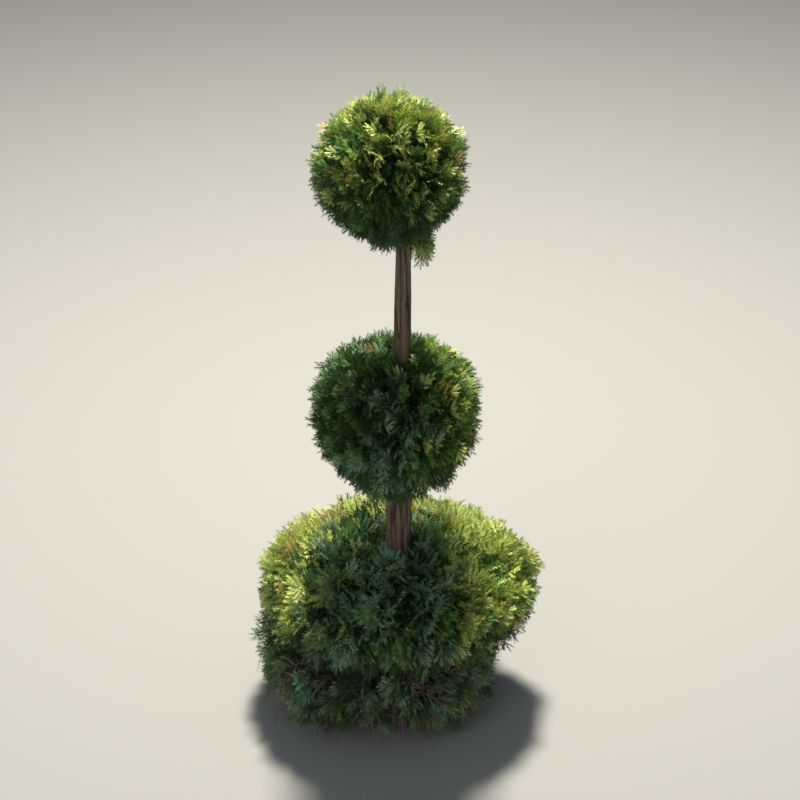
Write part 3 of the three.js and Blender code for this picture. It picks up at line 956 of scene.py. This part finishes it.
def deal_tints(name, sprays, random):
    """The name of a tint for each spray of a ball"""
    up = sprays["outward"][:, 2]
    count = len(up)
    weights = {tint: np.zeros(count) for tint in TINTS}
    # Painted light and shade: yellow-green more where a tip looks up, deep green more where it looks down
    add(weights, sunlit=np.clip(0.30 + 0.55 * up, 0.04, 0.8), green=0.62,
        deep=np.clip(0.34 - 0.45 * up, 0.08, 0.8), bronze=np.clip(0.05 + 0.07 * up, 0.01, 0.12))
    TINTS_BY_BALL[name](weights, *sprays["tips"].T, up)
    # Sprays under the outline: painted shade as deep green instead of yellow-green, and a few dry ones
    inside = sprays["depth"] > INSIDE
    scale(weights, sunlit=np.where(inside, 0.25, 1.0))
    add(weights, deep=1.4 * inside, dry=0.10 * inside)
    table = np.stack(list(weights.values()), 1)
    shares = np.cumsum(table / table.sum(1, keepdims=True), 1)
    picked = (random.random(count)[:, None] > shares).sum(1)
    tints = np.array(list(weights))[np.clip(picked, 0, len(TINTS) - 1)]
    print(name, {tint: int((tints == tint).sum()) for tint in TINTS})
    return tints


# %% [markdown]
# All sprays of one mass and one tint become one piece. A piece for each spray would be easier to pick, but
# thousands of objects are slow.

# %% Foliage pieces
def set_out(name, sprays, tints, slot):
    """Makes the leaf pieces of one mass: the root parts together, and the tip parts by tint"""
    turns = facing(sprays["along"], sprays["twist"])
    dry = tints == "dry"
    # Fresh root parts take the inner tint: older growth, darkened as painted shade
    groups = [("roots", "inner", ~dry), ("roots", "dry", dry)]
    groups += [("tips", tint, tints == tint) for tint in TINTS]
    for part, tint, chosen in groups:
        if not chosen.any():
            continue
        label = f"{name}_{part}_{tint}"
        roots, size, kind = (sprays[key][chosen] for key in ("roots", "size", "kind"))
        base = point_mesh(label + "_base", roots, turns[chosen], size, kind)
        shapes = SPRAYS["dry" if tint == "dry" else "fresh", part]
        piece = grown(label, base, SPRAY_TREE, {"Sprays": shapes, "Finish": LEAF_FINISH[tint]})
        settle(piece, slot, name)


# %% [markdown]
# Boughs start on the trunk, a little below the place that they reach, and bend out and up. Each twig runs
# from the nearest bough to its bunch, and each spray has a stalk that carries on into its own axis. They
# could be curves of their own, but as strings of points one sweeping tree makes them all.

# %% Boughs and twigs of a ball
BALL_BOUGH = Sizes(share=0.50, thick=(0.0052, 0.0024), drop=0.45, bend=0.12, lowest=0.9, tip_room=0.01)
AXIS_TIP_ROOM = 0.02
TWIG_THICK = (0.0021, 0.0012)
TWIG_SAG = 0.004
STALK_THICK = (0.0011, 0.0004)
STALK_INTO_SPRAY = 0.5


def bent_line(start, middle, end, thick, steps):
    """A curve from start to end that is pulled towards a middle point, tapering on the way"""
    shares = np.linspace(0, 1, steps)
    return [
        ((1 - t) ** 2 * start + 2 * t * (1 - t) * middle + t * t * end,
         thick[0] + (thick[1] - thick[0]) * t) for t in shares]


def stalk_lines(sprays, thick, into):
    """A stalk for each spray, from its twig's end to its root and on into its axis"""
    parts = zip(sprays["roots"], sprays["along"], sprays["size"], sprays["bunch"])
    return [
        [(sprays["ends"][bunch], thick[0]), (root, thick[1]), (root + along * size * into, thick[2])]
        for root, along, size, bunch in parts]


def ball_limbs(ball, sprays, random):
    """The lines of a ball's boughs, twigs and stalks"""
    centres, outward = outline_points(ball, ball.boughs, random)
    axis = trunk_middle(np.clip(centres[:, 2], 0, TRUNK_TIP - AXIS_TIP_ROOM))
    ends = axis + (centres - axis) * BALL_BOUGH.share
    ends[:, 2] -= np.maximum(0, outward[:, 2]) * ball.depth
    lowest, highest = ball.middle - ball.below * BALL_BOUGH.lowest, TRUNK_TIP - BALL_BOUGH.tip_room
    lines = []
    for end in ends:
        out = np.linalg.norm(end[:2] - trunk_middle(end[2])[:2])
        start = trunk_middle(np.clip(end[2] - BALL_BOUGH.drop * out, lowest, highest))
        middle = (start + end) / 2 - UP * out * BALL_BOUGH.bend
        lines.append(bent_line(start, middle, end, BALL_BOUGH.thick, 6))
    holder = nearest(ends, sprays["ends"])
    for twig, bough in zip(sprays["ends"], holder):
        start = ends[bough]
        sag = random.normal(0, TWIG_SAG, 3)
        lines.append(bent_line(start, (start + twig) / 2 + sag, twig, TWIG_THICK, 4))
    thick, thin = STALK_THICK
    stalks = stalk_lines(sprays, (thick, (thick + thin) / 2, thin), STALK_INTO_SPRAY)
    return lines, stalks


def twig_piece(node, kind, lines, sides):
    """Makes one piece of a mass's twigs or stalks"""
    label = f"{node}_{kind}"
    base = line_mesh(label + "_lines", lines)
    settle(grown(label, base, TWIG_TREE, {"Sides": sides, "Finish": TWIG}), "bark", node)


# %% [markdown]
# Each ball is grown and settled in turn. A tuft that the shears missed hangs under the top ball, and its
# sprays are added to that ball's own.

# %% The tuft
TUFT = Sizes(
    end=(0.060, -0.034, 0.966), radius=0.032, sprays=64, along=(-0.034, 0.014), spread=0.32, root=0.062,
    wander=0.2, size=(0.036, 0.05), tints=dict(sunlit=0.40, green=0.55, straw=0.05))


def tuft_sprays(random):
    """The loose sprays that were left hanging under the top ball"""
    ball = BALLS["top_ball"]
    end = np.array(TUFT.end)
    down = unit(end - np.array([*ball.offset, ball.middle]))
    count = TUFT.sprays
    tips = end + down * random.uniform(*TUFT.along, (count, 1))
    tips = tips + random.normal(0, TUFT.spread, (count, 3)) * TUFT.radius
    origin = end - down * TUFT.root
    along = unit(unit(tips - origin) + random.normal(0, TUFT.wander, (count, 3)))
    size = random.uniform(*TUFT.size, count)
    return dict(
        roots=tips - along * size[:, None], along=along, size=size, tips=tips,
        outward=np.tile(down, (count, 1)), depth=np.zeros(count), bunch=np.zeros(count, int),
        ends=origin[None], twist=random.uniform(-TWIST, TWIST, count),
        kind=random.integers(0, VARIANTS, count))


def joined(first, second):
    """Two lots of sprays as one, with the second lot's twig ends counted on from the first's"""
    second = dict(second, bunch=second["bunch"] + len(first["ends"]))
    return {key: np.concatenate([first[key], second[key]]) for key in first}


# %% The three balls
def set_out_mass(name, lines, stalks, sides, sprays, tints, slot):
    """Makes all pieces of one mass, which stand for its one node"""
    twig_piece(name, "twigs", lines, sides)
    twig_piece(name, "stalks", stalks, 3)
    set_out(name, sprays, tints, slot)
    print(name, "has", len(sprays["roots"]), "sprays")


for seed, (name, ball) in enumerate(BALLS.items()):
    random = np.random.default_rng(100 + seed)
    sprays = ball_sprays(ball, random)
    if name == "top_ball":
        sprays = joined(sprays, tuft_sprays(random))
    tints = deal_tints(name, sprays, random)
    if name == "top_ball":
        kinds, shares = list(TUFT.tints), list(TUFT.tints.values())
        tints[-TUFT.sprays:] = random.choice(kinds, TUFT.sprays, p=shares)
    lines, stalks = ball_limbs(ball, sprays, random)
    set_out_mass(name, lines, stalks, 5, sprays, tints, "clipped_foliage")

# %% [markdown]
# ## The skirt
# Under the lowest ball each low bough carries a loose mass that hangs towards the ground. It was never
# clipped, so its sprays arch out and down and thin out at the ends, and many are dry and brown from lack of
# light. Bare twigs hang between them. Sprays scattered in a ring would float, so every one keeps to the
# wedge that belongs to its bough and grows from a twig there.

# %% Sizes of the skirt
LEVEL = np.array([1.0, 1.0, 0.0])
SKIRT = Sizes(
    reach=dict(front=0.120, left=0.112, right=0.080, back=0.038),
    flare=dict(front=0.50, left=-0.30, right=-0.50, back=0.0),
    stem=dict(front=0.034, left=0.104, right=0.046, back=0.034),
    floor=0.012, top=0.172, sink=0.85, gap=0.004, stem_start=0.004, stem_rise=0.22, stem_tip=0.0024,
    sprays=170, more_sideways=90, outer_share=0.66, length=(0.042, 0.068), outward=0.55,
    fall=(0.15, 0.5), fall_from=1.15, fall_height=0.11, wander=0.30, side_twigs=26, set_back=0.0208,
    twig_behind=0.35, twig_last=0.95, twig_arch=0.006, stalk=(0.0010, 0.0008, 0.0004), into_spray=0.6)
INSET = Sizes(outer=(-0.004, 0.016), inner=(0.016, 0.075), twigs=(0.030, 0.070), bare=(-0.002, 0.02))
BARE = Sizes(count=36, hung_from=18, end_below=0.05, outward=0.012, wander=0.009, thick=(0.0009, 0.0003))
# The deep and bluish shares are painted shade under the ball; the dry share is the plant's own
SKIRT_TINTS = dict(green=0.07, deep=0.20, blue=0.22, dry=0.51)
DRY_BELOW = 0.05
DRY_SHARE = 0.30
print("dry share of the skirt", SKIRT_TINTS["dry"])


# %% The space of a skirt mass
def towards(angle, lengths):
    """A length that grows as the direction turns from the front to the left, the right or the back"""
    x, y = np.cos(angle), np.sin(angle)
    side = np.where(x < 0, lengths["left"], lengths["right"])
    return lengths["front"] + np.abs(x) * side + np.maximum(0, y) * lengths["back"]


def under_ball(points):
    """Which points lie below the lowest ball's middle and outside its outline"""
    ball = BALLS["bottom_ball"]
    away = np.hypot(points[:, 0] - ball.offset[0], (points[:, 1] - ball.offset[1]) / ball.deep)
    return (points[:, 2] < ball.middle) & (
        away > profile_radius(ball, points[:, 2]) * (1 - BUMPS.depth) - SKIRT.gap)


def wedge_points(angle, count, inset, random):
    """Points in the space of one mass, at a distance inside its outer face, clear of the ball above it"""
    many = count * 6
    height = SKIRT.floor + (SKIRT.top - SKIRT.floor) * random.random(many) ** SKIRT.sink
    half = math.pi / SKIRT_COUNT
    turn = angle + random.uniform(-half, half, many)
    face = towards(turn, SKIRT.reach) + towards(turn, SKIRT.flare) * height
    distance = face - random.uniform(*inset, many)
    points = np.stack([np.cos(turn) * distance, np.sin(turn) * distance, height], 1)
    margin = distance * np.sin(half - np.abs(turn - angle)) > SKIRT.gap / 2
    return points[under_ball(points) & margin][:count]


# %% What grows in a skirt mass
def skirt_twigs(angle, start, random):
    """The stem and side twigs of one mass, and the twigs' ends"""
    outward = level_point(angle, 1, 0)
    end = start + (outward + UP * SKIRT.stem_rise) * float(towards(angle, SKIRT.stem))
    thick = (BOUGH.tip, SKIRT.stem_tip)
    lines = [bent_line(start - outward * SKIRT.stem_start, (start + end) / 2, end, thick, 6)]
    ends = wedge_points(angle, SKIRT.side_twigs, INSET.twigs, random)
    ends += unit(start - ends) * SKIRT.set_back
    for tip in ends:
        share = np.dot(tip - start, outward) / np.linalg.norm(end - start) - SKIRT.twig_behind
        base = start + (end - start) * np.clip(share, 0, SKIRT.twig_last)
        lines.append(bent_line(base, (base + tip) / 2 + UP * SKIRT.twig_arch, tip, TWIG_THICK, 5))
    return lines, ends


def skirt_sprays(angle, ends, random):
    """The sprays of one mass, in the same form as a ball's"""
    outward = level_point(angle, 1, 0)
    count = int(SKIRT.sprays + SKIRT.more_sideways * abs(math.cos(angle)))
    outer = wedge_points(angle, int(count * SKIRT.outer_share), INSET.outer, random)
    tips = np.concatenate([outer, wedge_points(angle, count - len(outer), INSET.inner, random)])
    count = len(tips)
    bunch = nearest(ends, tips)
    droop = np.clip(SKIRT.fall_from - tips[:, 2] / SKIRT.fall_height, 0.0, 1.0)
    fall = SKIRT.fall[0] + SKIRT.fall[1] * droop
    along = unit(
        unit(tips - ends[bunch]) + SKIRT.outward * outward - UP * fall[:, None]
        + random.normal(0, SKIRT.wander, (count, 3)))
    size = random.uniform(*SKIRT.length, count)
    roots = tips - along * size[:, None]
    roots[:, 2] = np.maximum(roots[:, 2], SKIRT.floor)
    along = unit(tips - roots)
    return dict(
        roots=roots, along=along, size=size, tips=tips, bunch=bunch, ends=ends,
        twist=random.uniform(-TWIST, TWIST, count), kind=random.integers(0, VARIANTS, count))


def bare_twigs(angle, ends, random):
    """Thin dry twigs that hang from the higher ends towards the ground"""
    high = ends[np.argsort(ends[:, 2])[-BARE.hung_from:]]
    tips = wedge_points(angle, BARE.count, INSET.bare, random)
    tips[:, 2] = np.minimum(tips[:, 2], random.uniform(SKIRT.floor, BARE.end_below, len(tips)))
    lines = []
    for tip, holder in zip(tips, nearest(high * LEVEL, tips * LEVEL)):
        middle = (high[holder] + tip) / 2 + level_point(angle, 1, 0) * BARE.outward
        middle = middle + random.normal(0, BARE.wander, 3)
        lines.append(bent_line(high[holder], middle, tip, BARE.thick, 6))
    return lines


# %% The skirt masses
for k in range(SKIRT_COUNT):
    random = np.random.default_rng(300 + k)
    angle = bough_angle(k)
    lines, ends = skirt_twigs(angle, bough_point(k, 1.0), random)
    sprays = skirt_sprays(angle, ends, random)
    stalks = stalk_lines(sprays, SKIRT.stalk, SKIRT.into_spray) + bare_twigs(angle, ends, random)
    count = len(sprays["tips"])
    tints = random.choice(list(TINTS), count, p=[SKIRT_TINTS.get(tint, 0.0) for tint in TINTS])
    tints[(sprays["tips"][:, 2] < DRY_BELOW) & (random.random(count) < DRY_SHARE)] = "dry"
    set_out_mass(f"skirt_{k + 1}", lines, stalks, 6, sprays, tints, "skirt_foliage")

for collection in SPRAYS.values():
    for source in list(collection.objects):
        bpy.data.objects.remove(source)
    bpy.data.collections.remove(collection)

# %% [markdown]
# ## Floor, light and camera
# The plant stands on a plain pale floor. The main light is broad and hangs high behind the plant, so the
# tops and flanks glow and the near sides fall into soft shade, as they do under a high sun. A sun lamp
# would cut hard shadows, so it is a panel. A weak, larger panel in front and a dim blue room keep the shade
# readable.

# %% Floor and lights
FLOOR_HALF = 14.0
FLOOR_COLOUR = (0.345, 0.34, 0.325, 1.0)
LIGHT_AIM = Vector((0, 0, 0.6))


def floor():
    corners = [(x * FLOOR_HALF, y * FLOOR_HALF, 0) for x, y in ((-1, -1), (1, -1), (1, 1), (-1, 1))]
    mesh = new_mesh("floor", corners, [], [(0, 1, 2, 3)])
    material, board, place = new_material("floor_paint")
    end_material(board, {"Base Color": FLOOR_COLOUR, "Roughness": grain(board, place, 1.4) * 0.1 + 0.85})
    mesh.materials.append(material)
    made = in_scene("floor", mesh)


def soft_light(name, place, size, power, colour):
    lamp = bpy.data.lights.new(name, "AREA")
    lamp.shape = "DISK"
    lamp.size = size
    lamp.energy = power
    lamp.color = colour
    made = in_scene(name, lamp)
    made.location = place
    made.rotation_euler = (LIGHT_AIM - Vector(place)).to_track_quat("-Z", "Y").to_euler()
    print(name, power, "W")


floor()
soft_light("sun_panel", (0.0, 1.50, 4.3), 0.65, 410, (1.0, 0.95, 0.84))
soft_light("front_fill", (-1.8, -3.4, 2.6), 3.0, 30, (0.94, 0.97, 1.0))
world = bpy.data.worlds.new("room")
world.use_nodes = True
world.node_tree.nodes["Background"].inputs["Color"].default_value = (0.80, 0.91, 1.0, 1.0)
world.node_tree.nodes["Background"].inputs["Strength"].default_value = 0.22
bpy.context.scene.world = world
bpy.context.scene.view_settings.view_transform = "Standard"
bpy.context.scene.view_settings.exposure = 0.0

# %% [markdown]
# The camera stands where the photograph was taken: about three metres in front of the plant, well above it,
# looking down. It is aimed at the plant's middle through a lens twice as long, so the view of the plant is
# the same and only the frame round it is closer.

# %% Camera
CAMERA_PLACE = Vector((0.156, -3.05, 2.428))
CAMERA_AIM = Vector((0.015, 0.0, 0.662))
SENSOR = 36.0
FIELD_PIXELS = 2000.0
FRAME_PIXELS = 800.0

lens = bpy.data.cameras.new("camera")
lens.sensor_width = SENSOR
lens.lens = SENSOR * FIELD_PIXELS / FRAME_PIXELS
camera = in_scene("camera", lens)
camera.location = CAMERA_PLACE
camera.rotation_euler = (CAMERA_AIM - CAMERA_PLACE).to_track_quat("-Z", "Y").to_euler()
bpy.context.scene.camera = camera
print("lens", round(lens.lens, 1), "mm")
